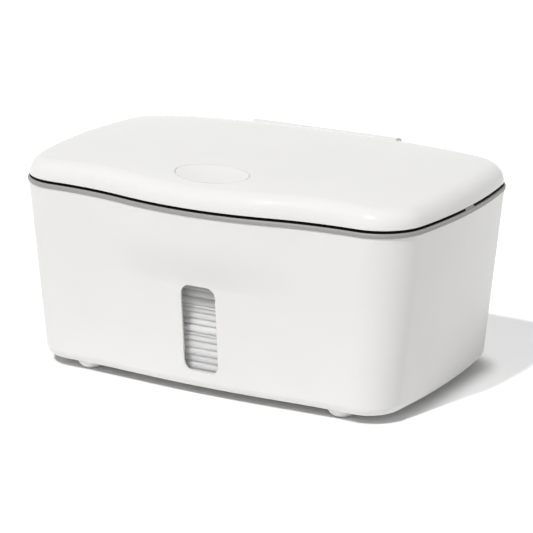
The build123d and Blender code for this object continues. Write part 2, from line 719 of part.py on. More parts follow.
with BuildPart() as plate_base:
    add(plate_block(plate_wall + fit_gap, plate_z, plate_z + plate_base_t))
    add(slot_block(slot_rim + fit_gap, plate_z, plate_z + plate_base_t), mode=Mode.SUBTRACT)
    for x, y in plate_screws_at:
        add(rod(screw_r + screw_hole, (x, y, plate_z), (x, y, plate_z + plate_base_t)), mode=Mode.SUBTRACT)
        add(rod(screw_head_r + screw_hole, (x, y, plate_z - 1), (x, y, plate_z + screw_head_t)), mode=Mode.SUBTRACT)
write(plate_base, "plate_base")

with BuildPart() as plate_weights:
    for side in (-1, 1):
        with Locations((side * weight_x, plate_mid, plate_z + plate_base_t)):
            Box(weight_l, weight_w, weight_t, align=(Align.CENTER, Align.CENTER, Align.MIN))
    fillet(plate_weights.edges().filter_by(Axis.Z), 2)
write(plate_weights, "plate_weights")

with BuildPart() as plate_screws:
    for x, y in plate_screws_at:
        add(screw(Plane(origin=(x, y, plate_z + screw_head_t))))
write(plate_screws, "plate_screws")

with BuildPart() as wipes_stack:
    stack_low = floor_z + run_gap
    add(plan(floor_z, wall + stack_in, stack_back, stack_r).moved(Location((0, 0, run_gap))))
    extrude(amount=stack_top - stack_low)
    add(block((-stack_x / 2, -depth, 0), (stack_x / 2, depth, lid_top)), mode=Mode.INTERSECT)
    fillet(wipes_stack.edges().group_by(Axis.Z)[0], stack_r)
write(wipes_stack, "wipes_stack")
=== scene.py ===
"""Countertop wipes dispenser: finishes, pieces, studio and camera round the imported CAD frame."""

import json
import logging
import math
from dataclasses import dataclass
from enum import Enum

import bmesh
import bpy
from mathutils import Matrix, Vector


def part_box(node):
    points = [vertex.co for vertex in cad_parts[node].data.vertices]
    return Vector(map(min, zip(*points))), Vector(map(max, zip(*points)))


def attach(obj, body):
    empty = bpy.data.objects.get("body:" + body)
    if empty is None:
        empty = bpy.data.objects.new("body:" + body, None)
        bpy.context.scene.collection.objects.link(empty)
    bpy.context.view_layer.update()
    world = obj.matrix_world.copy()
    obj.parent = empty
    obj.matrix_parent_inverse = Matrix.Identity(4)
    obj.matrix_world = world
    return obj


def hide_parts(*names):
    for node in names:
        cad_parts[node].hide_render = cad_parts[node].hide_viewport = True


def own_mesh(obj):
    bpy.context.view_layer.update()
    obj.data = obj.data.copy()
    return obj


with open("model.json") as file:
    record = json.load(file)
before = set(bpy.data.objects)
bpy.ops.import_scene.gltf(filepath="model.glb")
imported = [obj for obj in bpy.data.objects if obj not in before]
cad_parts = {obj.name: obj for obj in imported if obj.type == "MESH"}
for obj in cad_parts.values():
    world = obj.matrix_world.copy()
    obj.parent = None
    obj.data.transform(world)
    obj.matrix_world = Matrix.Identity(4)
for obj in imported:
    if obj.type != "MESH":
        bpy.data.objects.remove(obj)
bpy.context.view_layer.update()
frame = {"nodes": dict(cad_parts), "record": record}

LOG = logging.getLogger("dispenser")
NOISE_MIDDLE = (0.3, 0.7)
MIX_FACTOR, MIX_ONE, MIX_OTHER, MIX_RESULT = 0, 6, 7, 2
FULL_WHITE = (1.0, 1.0, 1.0, 1.0)
Colour = tuple[float, float, float]
Point = tuple[float, float, float]
Socket = bpy.types.NodeSocket


class Body(Enum):
    """The bodies of the CAD frame that pieces ride on."""

    TUB = "tub"
    LID = "lid"
    PLATE = "plate"


def node_slots() -> dict[str, str]:
    """Slot name of each node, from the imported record."""
    return {row["node"]: row["material_slot"] for row in frame["record"]["subparts"]}


def output(node: bpy.types.Node, *names: str) -> Socket:
    """A node's live output by any of its names."""
    return next(out for out in node.outputs if out.enabled and out.name in names)


def gathering(node: bpy.types.Node) -> Socket:
    """A node's live input that takes many links."""
    return next(into for into in node.inputs if into.enabled and into.is_multi_input)


# ---------------------------------------------------------------- finishes


class Recipe:
    """The node tree of a material or a world, being put together."""

    def __init__(self, owner: bpy.types.Material | bpy.types.World) -> None:
        """Start with an empty tree.

        Args:
            owner: The new material or world.
        """
        self.owner = owner
        owner.use_nodes = True
        self.tree = owner.node_tree
        self.tree.nodes.clear()

    def node(self, kind: str, settings: dict | None = None, **inputs: object) -> bpy.types.Node:
        """Add a node.

        Args:
            kind: Blender's node type.
            settings: Properties of the node itself.
            **inputs: Values or output sockets by input name, with underscores for spaces.

        Returns:
            The new node.
        """
        made = self.tree.nodes.new(kind)
        for name, value in (settings or {}).items():
            setattr(made, name, value)
        for name, value in inputs.items():
            self.feed(made, name.replace("_", " "), value)
        return made

    def feed(self, node: bpy.types.Node, name: str | int, value: object) -> None:
        """Set or link one input.

        Args:
            node: The node to feed.
            name: Name or index of its input.
            value: A plain value, or the output socket to link from.
        """
        if isinstance(value, Socket):
            self.tree.links.new(value, node.inputs[name])
        else:
            node.inputs[name].default_value = value

    def sum(self, operation: str, one: object, other: object) -> Socket:
        """One step of arithmetic.

        Args:
            operation: Name of a Math operation.
            one: First number or socket.
            other: Second number or socket.

        Returns:
            The result.
        """
        made = self.node("ShaderNodeMath", {"operation": operation})
        self.feed(made, 0, one)
        self.feed(made, 1, other)
        return made.outputs[0]

    def vector_step(self, operation: str, one: object, other: object = None) -> bpy.types.Node:
        """One step of vector arithmetic.

        Args:
            operation: Name of a Vector Math operation.
            one: First vector or socket.
            other: Second vector or socket, where the operation has one.

        Returns:
            The node, with its result at Vector or at Value.
        """
        made = self.node("ShaderNodeVectorMath", {"operation": operation})
        self.feed(made, 0, one)
        if other is not None:
            self.feed(made, 1, other)
        return made

    def noise(self, scale: float, detail: float = 3.0, rough: float = 0.55) -> Socket:
        """Noise over the piece's own coordinates.

        Args:
            scale: Cells to the metre.
            detail: Octaves.
            rough: Strength of the finer octaves.

        Returns:
            The factor output.
        """
        place = self.node("ShaderNodeTexCoord").outputs["Object"]
        made = self.node(
            "ShaderNodeTexNoise", Vector=place, Scale=scale, Detail=detail, Roughness=rough
        )
        return made.outputs["Fac"]

    def ranged(self, factor: Socket, low: float, high: float) -> Socket:
        """Spread a noise factor's middle over a range.

        Args:
            factor: Value from 0 to 1.
            low: Result at the lower end of the middle.
            high: Result at the upper end of the middle.

        Returns:
            The spread value.
        """
        start, end = NOISE_MIDDLE
        made = self.node(
            "ShaderNodeMapRange",
            Value=factor,
            From_Min=start,
            From_Max=end,
            To_Min=low,
            To_Max=high,
        )
        return made.outputs["Result"]

    def tint(self, factor: Socket, one: Colour, other: Colour) -> Socket:
        """Blend two colours.

        Args:
            factor: Share of the second colour.
            one: First colour, linear.
            other: Second colour, linear.

        Returns:
            The blended colour.
        """
        made = self.node("ShaderNodeMix", {"data_type": "RGBA"})
        self.feed(made, MIX_FACTOR, factor)
        self.feed(made, MIX_ONE, (*one, 1.0))
        self.feed(made, MIX_OTHER, (*other, 1.0))
        return made.outputs[MIX_RESULT]

    def bump(self, height: Socket, depth: float, strength: float = 1.0,
             under: Socket | None = None) -> Socket:
        """A bump normal.

        Args:
            height: Height factor.
            depth: Height of the relief in metres.
            strength: Share of the relief that shows.
            under: A normal that this relief is laid on.

        Returns:
            The normal output.
        """
        made = self.node("ShaderNodeBump", Height=height, Distance=depth, Strength=strength)
        if under is not None:
            self.feed(made, "Normal", under)
        return made.outputs["Normal"]

    def finish(self, shader: bpy.types.Node) -> bpy.types.Material | bpy.types.World:
        """Join the shader to the output.

        Args:
            shader: Node whose first output is the surface.

        Returns:
            The finished material or world.
        """
        kind = "World" if isinstance(self.owner, bpy.types.World) else "Material"
        self.node("ShaderNodeOutput" + kind, Surface=shader.outputs[0])
        return self.owner


@dataclass(frozen=True)
class MouldedPlastic:
    """Injection-moulded plastic with a fine eroded mould texture and faint flow marks."""

    name: str
    colour: Colour
    shade: float = 0.975
    roughness: float = 0.34
    spread: float = 0.05
    flow: float = 22.0
    rub: float = 140.0
    grain: float = 2600.0
    relief: float = 0.000003
    gloss: float = 0.5

    def material(self) -> bpy.types.Material:
        """Build the material.

        Returns:
            The material.
        """
        recipe = Recipe(bpy.data.materials.new(self.name))
        flow = recipe.noise(self.flow, detail=2.0)
        darker = tuple(part * self.shade for part in self.colour)
        rub = recipe.noise(self.rub, detail=5.0, rough=0.7)
        fine = recipe.noise(self.grain, detail=2.0)
        shader = recipe.node(
            "ShaderNodeBsdfPrincipled",
            Base_Color=recipe.tint(recipe.ranged(flow, 0.0, 1.0), self.colour, darker),
            Roughness=recipe.ranged(
                rub, self.roughness - self.spread, self.roughness + self.spread
            ),
            Normal=recipe.bump(fine, self.relief),
            Specular_IOR_Level=self.gloss,
        )
        return recipe.finish(shader)


@dataclass(frozen=True)
class ClearPlastic:
    """A clear polished pane with a few hairline scuffs and a slight wave."""

    name: str
    colour: Colour
    roughness: float = 0.06
    haze: float = 0.035
    scuffs: float = 700.0
    waves: float = 60.0
    relief: float = 0.00004
    refraction: float = 1.49

    def material(self) -> bpy.types.Material:
        """Build the material.

        Returns:
            The material.
        """
        recipe = Recipe(bpy.data.materials.new(self.name))
        scuff = recipe.noise(self.scuffs, detail=6.0, rough=0.8)
        shader = recipe.node(
            "ShaderNodeBsdfPrincipled",
            Base_Color=(*self.colour, 1.0),
            Roughness=recipe.ranged(scuff, self.roughness * 0.5, self.roughness * 2.0),
            Alpha=recipe.ranged(scuff, self.haze * 0.7, self.haze * 1.3),
            Normal=recipe.bump(recipe.noise(self.waves, detail=1.0), self.relief),
            IOR=self.refraction,
        )
        return recipe.finish(shader)


@dataclass(frozen=True)
class DrawnSteel:
    """Bright steel with fine drawing lines and small roughness changes."""

    name: str
    colour: Colour
    roughness: float = 0.26
    shade: float = 0.86
    lines: float = 1500.0
    patches: float = 180.0
    relief: float = 0.000006

    def material(self) -> bpy.types.Material:
        """Build the material.

        Returns:
            The material.
        """
        recipe = Recipe(bpy.data.materials.new(self.name))
        lines = recipe.noise(self.lines, detail=4.0, rough=0.7)
        patches = recipe.noise(self.patches, detail=3.0)
        darker = tuple(part * self.shade for part in self.colour)
        shader = recipe.node(
            "ShaderNodeBsdfPrincipled",
            Base_Color=recipe.tint(recipe.ranged(patches, 0.0, 1.0), self.colour, darker),
            Roughness=recipe.ranged(lines, self.roughness - 0.07, self.roughness + 0.1),
            Normal=recipe.bump(lines, self.relief),
            Metallic=1.0,
        )
        return recipe.finish(shader)


@dataclass(frozen=True)
class Rubber:
    """Soft elastomer, matt, with a dusty bloom."""

    name: str
    colour: Colour
    bloom: Colour
    roughness: float = 0.62
    scatter: float = 0.0
    scatter_reach: Point = (0.004, 0.004, 0.0038)
    gloss: float = 0.5
    dust: float = 420.0
    grain: float = 1900.0
    relief: float = 0.00002

    def material(self) -> bpy.types.Material:
        """Build the material.

        Returns:
            The material.
        """
        recipe = Recipe(bpy.data.materials.new(self.name))
        dust = recipe.noise(self.dust, detail=5.0, rough=0.7)
        shader = recipe.node(
            "ShaderNodeBsdfPrincipled",
            Base_Color=recipe.tint(recipe.ranged(dust, 0.0, 1.0), self.colour, self.bloom),
            Roughness=recipe.ranged(dust, self.roughness - 0.08, self.roughness + 0.12),
            Normal=recipe.bump(recipe.noise(self.grain, detail=3.0), self.relief),
            Specular_IOR_Level=self.gloss,
            Subsurface_Weight=self.scatter,
            Subsurface_Radius=self.scatter_reach,
            Subsurface_Scale=1.0,
        )
        return recipe.finish(shader)


@dataclass(frozen=True)
class NonWoven:
    """Damp non-woven wipe: soft fibres in every direction, embossed in fine dimples."""

    name: str
    colour: Colour
    shade: Colour
    fibres: float = 2400.0
    fibre_relief: float = 0.00008
    dimples: float = 520.0
    dimple_relief: float = 0.00012
    scatter: float = 0.85
    scatter_reach: Point = (0.008, 0.008, 0.0078)
    sheen: float = 0.25
    sheen_roughness: float = 0.5

    def material(self) -> bpy.types.Material:
        """Build the material.

        Returns:
            The material.
        """
        recipe = Recipe(bpy.data.materials.new(self.name))
        fibres = recipe.noise(self.fibres, detail=6.0, rough=0.75)
        place = recipe.node("ShaderNodeTexCoord").outputs["Object"]
        dimples = recipe.node("ShaderNodeTexVoronoi", Vector=place, Scale=self.dimples)
        relief = recipe.bump(dimples.outputs["Distance"], self.dimple_relief, strength=0.5)
        shader = recipe.node(
            "ShaderNodeBsdfPrincipled",
            Base_Color=recipe.tint(recipe.ranged(fibres, 0.0, 1.0), self.colour, self.shade),
            Roughness=recipe.ranged(fibres, 0.66, 0.9),
            Normal=recipe.bump(fibres, self.fibre_relief, strength=0.6, under=relief),
            Subsurface_Weight=self.scatter,
            Subsurface_Radius=self.scatter_reach,
            Subsurface_Scale=1.0,
            Sheen_Weight=self.sheen,
            Sheen_Roughness=self.sheen_roughness,
        )
        return recipe.finish(shader)


WHITE = (0.83, 0.823, 0.807)
FINISHES = {
    "white_plastic": MouldedPlastic("tub_plastic", WHITE, gloss=0.4),
    "lid_plastic": MouldedPlastic("lid_plastic", WHITE, roughness=0.14, spread=0.02),
    "grey_plastic": MouldedPlastic(
        "rim_plastic", (0.335, 0.327, 0.31), roughness=0.5, relief=0.00003
    ),
    "latch_plastic": MouldedPlastic("latch_plastic", (0.62, 0.62, 0.6), roughness=0.4),
    "liner_plastic": MouldedPlastic("liner_plastic", (0.8, 0.8, 0.785), roughness=0.4),
    "plate_plastic": MouldedPlastic("plate_plastic", (0.78, 0.78, 0.765), roughness=0.38),
    "clear_plastic": ClearPlastic("pane_plastic", (0.85, 0.86, 0.86)),
    "foot_rubber": Rubber(
        "foot_rubber", (0.9, 0.9, 0.88), bloom=(0.84, 0.84, 0.82), roughness=0.4, scatter=0.6
    ),
    # The gasket is dark rubber, but its near-zero colour and almost-off gloss are painted shade:
    # they make the gap between lid and rim render as black as its deep shadow.
    "gasket_rubber": Rubber(
        "gasket_rubber", (0.002, 0.002, 0.002), bloom=(0.004, 0.004, 0.004), roughness=0.75,
        gloss=0.03,
    ),
    "steel": DrawnSteel("pin_steel", (0.66, 0.66, 0.65)),
    "spring_steel": DrawnSteel("spring_steel", (0.5, 0.5, 0.5), roughness=0.3),
    "screw_steel": DrawnSteel("screw_steel", (0.6, 0.6, 0.59), roughness=0.28),
    "weight_steel": DrawnSteel("weight_steel", (0.45, 0.45, 0.45), roughness=0.42),
    "wipes_fabric": NonWoven("wipes_fabric", (0.92, 0.92, 0.905), shade=(0.86, 0.86, 0.85)),
}


class FinishShelf:
    """Builds each finish once, when it is first asked for."""

    def __init__(self) -> None:
        """Start with nothing built."""
        self.built: dict[str, bpy.types.Material] = {}

    def take(self, slot: str) -> bpy.types.Material:
        """Give the material of a slot.

        Args:
            slot: The record's slot name.

        Returns:
            The material.
        """
        if slot not in self.built:
            self.built[slot] = FINISHES[slot].material()
        return self.built[slot]

    def dress_frame(self) -> None:
        """Give every CAD node the finish of its slot."""
        for name, slot in node_slots().items():
            node = frame["nodes"][name]
            node.data.materials.clear()
            node.data.materials.append(self.take(slot))


# ---------------------------------------------------------------- pieces


class Growth:
    """A Geometry Nodes tree with named sizes, grown into a plain mesh."""

    def __init__(self, name: str) -> None:
        """Start a tree with a geometry input and output.

        Args:
            name: Name of the tree.
        """
        self.group = bpy.data.node_groups.new(name, "GeometryNodeTree")
        self.values: dict[str, object] = {}
        for way in ("INPUT", "OUTPUT"):
            self.group.interface.new_socket(
                "Geometry", in_out=way, socket_type="NodeSocketGeometry"
            )
        self.entry = self.group.nodes.new("NodeGroupInput")
        self.exit = self.group.nodes.new("NodeGroupOutput")
        self.start = self.entry.outputs[0]

    def given(self, name: str, value: object) -> Socket:
        """Add a named input with its value.

        Args:
            name: Name of the input.
            value: A number, a vector, an object or a material.

        Returns:
            The input's socket inside the tree.
        """
        kinds = {
            float: "NodeSocketFloat",
            int: "NodeSocketInt",
            tuple: "NodeSocketVector",
            bpy.types.Object: "NodeSocketObject",
            bpy.types.Material: "NodeSocketMaterial",
        }
        kind = kinds[type(value)]
        socket = self.group.interface.new_socket(name, in_out="INPUT", socket_type=kind)
        self.values[socket.identifier] = value
        return next(out for out in self.entry.outputs if out.identifier == socket.identifier)

    def node(self, kind: str, settings: dict | None = None, **inputs: object) -> bpy.types.Node:
        """Add a node.

        Args:
            kind: Blender's node type, without its GeometryNode start.
            settings: Properties of the node itself.
            **inputs: Values or output sockets by input name, with underscores for spaces.

        Returns:
            The new node.
        """
        whole = kind if kind.startswith(("Shader", "Function")) else "GeometryNode" + kind
        made = self.group.nodes.new(whole)
        for name, value in (settings or {}).items():
            setattr(made, name, value)
        for name, value in inputs.items():
            wanted = name.replace("_", " ")
            self.feed(next(s for s in made.inputs if s.enabled and s.name == wanted), value)
        return made

    def feed(self, socket: Socket, value: object) -> None:
        """Set or link one input socket.

        Args:
            socket: The input socket.
            value: A plain value, or the output socket to link from.
        """
        if isinstance(value, Socket):
            self.group.links.new(value, socket)
        else:
            socket.default_value = value

    def sum(self, operation: str, *parts: object) -> Socket:
        """One step of arithmetic.

        Args:
            operation: Name of a Math operation.
            *parts: Its numbers or sockets, in order.

        Returns:
            The result.
        """
        made = self.group.nodes.new("ShaderNodeMath")
        made.operation = operation
        for socket, part in zip(made.inputs, parts):
            self.feed(socket, part)
        return made.outputs[0]

    def product(self, *parts: object) -> Socket:
        """Multiply from the first part to the last.

        Args:
            *parts: Numbers or sockets.

        Returns:
            The product.
        """
        result = parts[0]
        for part in parts[1:]:
            result = self.sum("MULTIPLY", result, part)
        return result

    def vector(self, x: object, y: object, z: object) -> Socket:
        """Three numbers or sockets as a vector."""
        return self.node("ShaderNodeCombineXYZ", X=x, Y=y, Z=z).outputs[0]

    def place(self) -> list[Socket]:
        """The three parts of the position."""
        position = self.node("InputPosition").outputs[0]
        return list(self.node("ShaderNodeSeparateXYZ", Vector=position).outputs)

    def shifted(self, geometry: Socket, offset: Socket) -> Socket:
        """The geometry with each point moved by an offset."""
        return self.node("SetPosition", Geometry=geometry, Offset=offset).outputs[0]

    def chance(self, low: float, high: float, seed: object) -> Socket:
        """A seeded random number for each element.

        Args:
            low: Least value.
            high: Greatest value.
            seed: Seed, a number or a socket.

        Returns:
            The random number.
        """
        made = self.node(
            "FunctionNodeRandomValue", {"data_type": "FLOAT"}, Min=low, Max=high, Seed=seed
        )
        return output(made, "Value")

    def noise(self, x: object, y: object, z: object) -> Socket:
        """Noise at a place given in cells.

        Args:
            x: First part of the place.
            y: Second part of the place.
            z: Third part of the place.

        Returns:
            A value from 0 to 1.
        """
        place = self.vector(x, y, z)
        made = self.node("ShaderNodeTexNoise", Vector=place, Scale=1.0, Detail=1.0)
        return output(made, "Fac", "Factor")

    def grow(self, name: str, result: Socket, material: bpy.types.Material,
             base: bpy.types.Mesh | None = None) -> bpy.types.Object:
        """Close the tree, run it and keep its result as a plain mesh.

        Args:
            name: Name of the piece.
            result: The tree's geometry.
            material: The piece's finish.
            base: Mesh whose points the tree starts from.

        Returns:
            The piece, with no modifier.
        """
        real = self.node("RealizeInstances", Geometry=result).outputs[0]
        coated = self.node("SetMaterial", Geometry=real, Material=self.given("Finish", material))
        self.feed(self.exit.inputs[0], coated.outputs[0])
        seed = bpy.data.objects.new(name + "_seed", base or bpy.data.meshes.new(name + "_seed"))
        bpy.context.scene.collection.objects.link(seed)
        modifier = seed.modifiers.new("growth", "NODES")
        modifier.node_group = self.group
        for identifier, value in self.values.items():
            modifier[identifier] = value
        graph = bpy.context.evaluated_depsgraph_get()
        mesh = bpy.data.meshes.new_from_object(seed.evaluated_get(graph))
        mesh.name = name
        seed.modifiers.remove(modifier)
        bpy.data.objects.remove(seed)
        piece = bpy.data.objects.new(name, mesh)
        bpy.context.scene.collection.objects.link(piece)
        return piece


@dataclass
class WipesStack:
    """The folded wipes: leaves of uneven thickness whose folds wander at the front.

    The sizes are in metres. thin and thick are the leaves' relative weights, full and fold are
    shares of a leaf's thickness, rim and front_power say where a leaf's fold begins and how
    near the front the stack swells, and the cells are noise cells to the metre.
    """

    node: str = "wipes_stack"
    leaves: int = 20
    across: int = 36
    along: int = 10
    layers: int = 5
    thin: float = 0.35
    thick: float = 1.9
    advance: float = 0.0012
    full: float = 0.985
    fold: float = 0.45
    rim: float = 0.49
    bulge: float = 0.0029
    bulge_half: float = 0.081
    front_power: float = 6.0
    wander: float = 0.0007
    wander_cells: tuple[float, float] = (26.0, 330.0)
    slip: float = 0.0004
    sag: float = 0.0009
    sag_cells: tuple[float, float] = (17.0, 11.0)
    sag_slice: float = 4.0
    sag_rise: float = 60.0
    margin: float = 0.0006
    seed: int = 11

    def build(self, shelf: FinishShelf) -> bpy.types.Object:
        """Grow the leaves inside the stack's box.

        Args:
            shelf: Where the finish comes from.

        Returns:
            The stack, riding the tub.
        """
        low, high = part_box(self.node)
        tree = Growth("folded_leaves")
        middle = ((low.x + high.x) / 2, (low.y + high.y + self.bulge) / 2, low.z)
        pile = self.pile(tree, high - low)
        moved = tree.node("Transform", Geometry=pile, Translation=middle)
        smooth = tree.node("SetShadeSmooth", Geometry=moved.outputs[0])
        piece = tree.grow("wipes", smooth.outputs[0], shelf.take("wipes_fabric"))
        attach(piece, Body.TUB.value)
        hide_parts(self.node)
        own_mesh(piece)
        return piece

    def pile(self, tree: Growth, size: Vector) -> Socket:
        """Lay the leaves on each other, from the ground up.

        Args:
            tree: The tree they are made in.
            size: Size of the stack's box.

        Returns:
            The settled leaves, about the stack's middle.
        """
        count = tree.given("Leaves", self.leaves)
        height = tree.given("Height", size.z - self.margin)
        length = tree.given("Length", size.x - 2 * self.slip)
        depth = tree.given("Depth", size.y - self.bulge - 2 * self.slip)
        seed = tree.given("Seed", self.seed)
        mean = tree.sum("DIVIDE", height, count)
        weight = tree.chance(self.thin, self.thick, seed)
        running = tree.node("AccumulateField", {"data_type": "FLOAT"}, Value=weight)
        total = output(running, "Total")
        share = tree.sum("DIVIDE", weight, total)
        below = tree.sum("DIVIDE", output(running, "Trailing"), total)
        middle = tree.sum("ADD", below, tree.product(share, 0.5))
        rows = tree.node("MeshLine", Count=count)
        spots = tree.node(
            "SetPosition",
            Geometry=rows.outputs[0],
            Position=tree.vector(
                tree.chance(-self.slip, self.slip, tree.sum("ADD", seed, 1)),
                tree.chance(-self.slip, self.slip, tree.sum("ADD", seed, 2)),
                tree.product(middle, height),
            ),
        )
        laid = tree.node(
            "InstanceOnPoints",
            Points=spots.outputs[0],
            Instance=self.leaf(tree, length, depth, mean),
            Scale=tree.vector(1.0, 1.0, tree.product(share, count, self.full)),
        )
        real = tree.node("RealizeInstances", Geometry=laid.outputs[0])
        return self.settle(tree, real.outputs[0], depth)

    def leaf(self, tree: Growth, length: Socket, depth: Socket, mean: Socket) -> Socket:
        """One folded wipe with round folds along its front and back.

        Args:
            tree: The tree it is made in.
            length: Length of the leaf.
            depth: Depth of the leaf.
            mean: Thickness of the leaf.

        Returns:
            Its geometry.
        """
        slab = tree.node(
            "MeshCube",
            Size=tree.vector(length, depth, mean),
            Vertices_X=self.across,
            Vertices_Y=self.along,
            Vertices_Z=self.layers,
        )
        _, y, z = tree.place()
        bow = tree.sum("DIVIDE", z, tree.product(mean, 0.5))
        inside = tree.sum("SUBTRACT", 1.0, tree.product(bow, bow))
        chord = tree.sum("SQRT", tree.sum("MAXIMUM", inside, 0.0))
        reach = tree.product(mean, self.fold / 2)
        pull = tree.product(tree.sum("SUBTRACT", 1.0, chord), reach)
        edge = tree.sum("GREATER_THAN", tree.sum("ABSOLUTE", y), tree.product(depth, self.rim))
        inward = tree.product(tree.sum("SIGN", y), -1.0, tree.product(pull, edge))
        return tree.shifted(slab.outputs[0], tree.vector(0.0, inward, 0.0))

    def settle(self, tree: Growth, leaves: Socket, depth: Socket) -> Socket:
        """Let the folds wander, the leaves sag and the front follow the tub's swell.

        Args:
            tree: The tree they are made in.
            leaves: The leaves, about the stack's middle.
            depth: Depth of a leaf.

        Returns:
            The settled leaves.
        """
        x, y, z = tree.place()
        ahead = tree.sum("MAXIMUM", tree.sum("DIVIDE", y, tree.product(depth, -0.5)), 0.0)
        front = tree.sum("POWER", ahead, self.front_power)
        aside = tree.sum("DIVIDE", tree.sum("ABSOLUTE", x), self.bulge_half)
        side = tree.sum("MINIMUM", aside, 1.0)
        swell = tree.product(tree.sum("SUBTRACT", 1.0, tree.product(side, side)), self.bulge)
        wander_x, wander_z = self.wander_cells
        folds = tree.noise(tree.product(x, wander_x), tree.product(z, wander_z), 0.0)
        ahead_of_box = tree.sum("ADD", swell, self.advance)
        shift = tree.sum("SUBTRACT", tree.product(folds, self.wander), ahead_of_box)
        sag_x, sag_y = self.sag_cells
        wave = tree.noise(tree.product(x, sag_x), tree.product(y, sag_y), self.sag_slice)
        free = tree.sum("MINIMUM", tree.product(z, self.sag_rise), 1.0)
        drop = tree.product(wave, -self.sag, free)
        return tree.shifted(leaves, tree.vector(0.0, tree.product(shift, front), drop))


@dataclass
class ScrewSet:
    """Identical pan-head screws with a cross recess and thread ridges.

    The sizes are in metres, lead is in pitches and tip is a share of the shank's radius.
    """

    node: str
    body: Body
    turn: Point = (0.0, 0.0, 0.0)
    head_r: float = 0.0026
    head_t: float = 0.0014
    head_edge: float = 0.0001
    crown: float = 0.0005
    shank_r: float = 0.0012
    thread: float = 0.00026
    pitch: float = 0.0007
    lead: float = 0.6
    tip: float = 0.35
    recess_l: float = 0.0029
    recess_w: float = 0.00052
    recess_t: float = 0.0009
    around: int = 32
    dome_steps: int = 6
    seed: int = 5

    def profile(self, length: float) -> list[tuple[float, float]]:
        """Radius and height of the screw's outline from its head down its shank.

        Args:
            length: Length of the shank.

        Returns:
            The points, with the head below zero and the shank above it.
        """
        leans = [math.pi / 2 * i / self.dome_steps for i in range(self.dome_steps + 1)]
        points = [
            (self.head_r * math.sin(lean), -self.head_t + self.crown * (1 - math.cos(lean)))
            for lean in leans
        ]
        edge = self.head_edge
        points += [(self.head_r, -edge), (self.head_r - edge, 0.0), (self.shank_r, 0.0)]
        root = self.shank_r - self.thread
        turns = int((length - 2 * self.pitch) / self.pitch)
        for i in range(turns):
            z = self.pitch * (i + self.lead)
            points += [(root, z), (self.shank_r, z + self.pitch / 2)]
        points += [(root, self.pitch * (turns + self.lead)), (self.shank_r * self.tip, length)]
        return points + [(0.0, length)]

    def blank(self, length: float) -> bpy.types.Object:
        """One screw without its recess, as the tree's pattern.

        Args:
            length: Length of the shank.

        Returns:
            A turned screw whose seat is at the origin.
        """
        form = bmesh.new()
        angles = [2 * math.pi * k / self.around for k in range(self.around)]
        rings = []
        for r, z in self.profile(length):
            if r == 0.0:
                rings.append([form.verts.new((0, 0, z))])
            else:
                rings.append(
                    [form.verts.new((r * math.cos(a), r * math.sin(a), z)) for a in angles]
                )
        for one, other in zip(rings, rings[1:]):
            for k in range(self.around):
                after = (k + 1) % self.around
                if len(one) == 1:
                    form.faces.new((one[0], other[after], other[k]))
                elif len(other) == 1:
                    form.faces.new((one[k], one[after], other[0]))
                else:
                    form.faces.new((one[k], one[after], other[after], other[k]))
        bmesh.ops.recalc_face_normals(form, faces=form.faces)
        mesh = bpy.data.meshes.new(self.node + "_blank")
        form.to_mesh(mesh)
        form.free()
        blank = bpy.data.objects.new(mesh.name, mesh)
        bpy.context.scene.collection.objects.link(blank)
        return blank

    def build(self, shelf: FinishShelf) -> bpy.types.Object:
        """Set a screw in every seat of the node.

        Args:
            shelf: Where the finish comes from.

        Returns:
            The screws, riding their body.
        """
        low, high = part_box(self.node)
        upright = self.turn == (0.0, 0.0, 0.0)
        length = (high.z - low.z if upright else high.y - low.y) - self.head_t
        blank = self.blank(length)
        tree = Growth(self.node + "_tree")
        screw = self.recessed(tree, blank)
        twist = tree.chance(0.0, math.pi / 2, tree.given("Seed", self.seed))
        laid = tree.node(
            "InstanceOnPoints",
            Points=tree.start,
            Instance=screw,
            Rotation=tree.given("Turn", self.turn),
        )
        turned = tree.node(
            "RotateInstances",
            Instances=laid.outputs[0],
            Rotation=tree.vector(0.0, 0.0, twist),
            Local_Space=True,
        )
        base = bpy.data.meshes.new(self.node + "_seats")
        base.from_pydata(self.seats(low, high, upright), [], [])
        name = self.node.replace("_screws", "_cross_screws")
        piece = tree.grow(name, turned.outputs[0], shelf.take("screw_steel"), base)
        bpy.data.objects.remove(blank)
        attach(piece, self.body.value)
        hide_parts(self.node)
        return piece

    def recessed(self, tree: Growth, blank: bpy.types.Object) -> Socket:
        """Cut the cross recess into the blank's head.

        Args:
            tree: The tree it is made in.
            blank: The screw without its recess.

        Returns:
            The whole screw.
        """
        source = tree.node("ObjectInfo", Object=tree.given("Screw", blank))
        cut = tree.given("Recess length", self.recess_l)
        width = tree.given("Recess width", self.recess_w)
        deep = tree.given("Recess depth", 2 * self.recess_t)
        bars = tree.node("MeshBoolean", {"operation": "UNION"})
        for size in (tree.vector(cut, width, deep), tree.vector(width, cut, deep)):
            bar = tree.node("MeshCube", Size=size).outputs[0]
            raised = tree.node("Transform", Geometry=bar, Translation=(0.0, 0.0, -self.head_t))
            tree.feed(gathering(bars), raised.outputs[0])
        cross = tree.node("MeshBoolean", {"operation": "DIFFERENCE"})
        tree.feed(cross.inputs[0], output(source, "Geometry"))
        tree.feed(gathering(cross), bars.outputs[0])
        return cross.outputs[0]

    def seats(self, low: Vector, high: Vector, upright: bool) -> list[Point]:
        """Middle of each screw's seat.

        Args:
            low: Lowest corner of the node.
            high: Highest corner of the node.
            upright: Whether the shanks point up; they point back otherwise.

        Returns:
            The seats.
        """
        sides = (low.x + self.head_r, high.x - self.head_r)
        if upright:
            ends = (low.y + self.head_r, high.y - self.head_r)
            return [(x, y, low.z + self.head_t) for x in sides for y in ends]
        return [(x, low.y + self.head_t, (low.z + high.z) / 2) for x in sides]


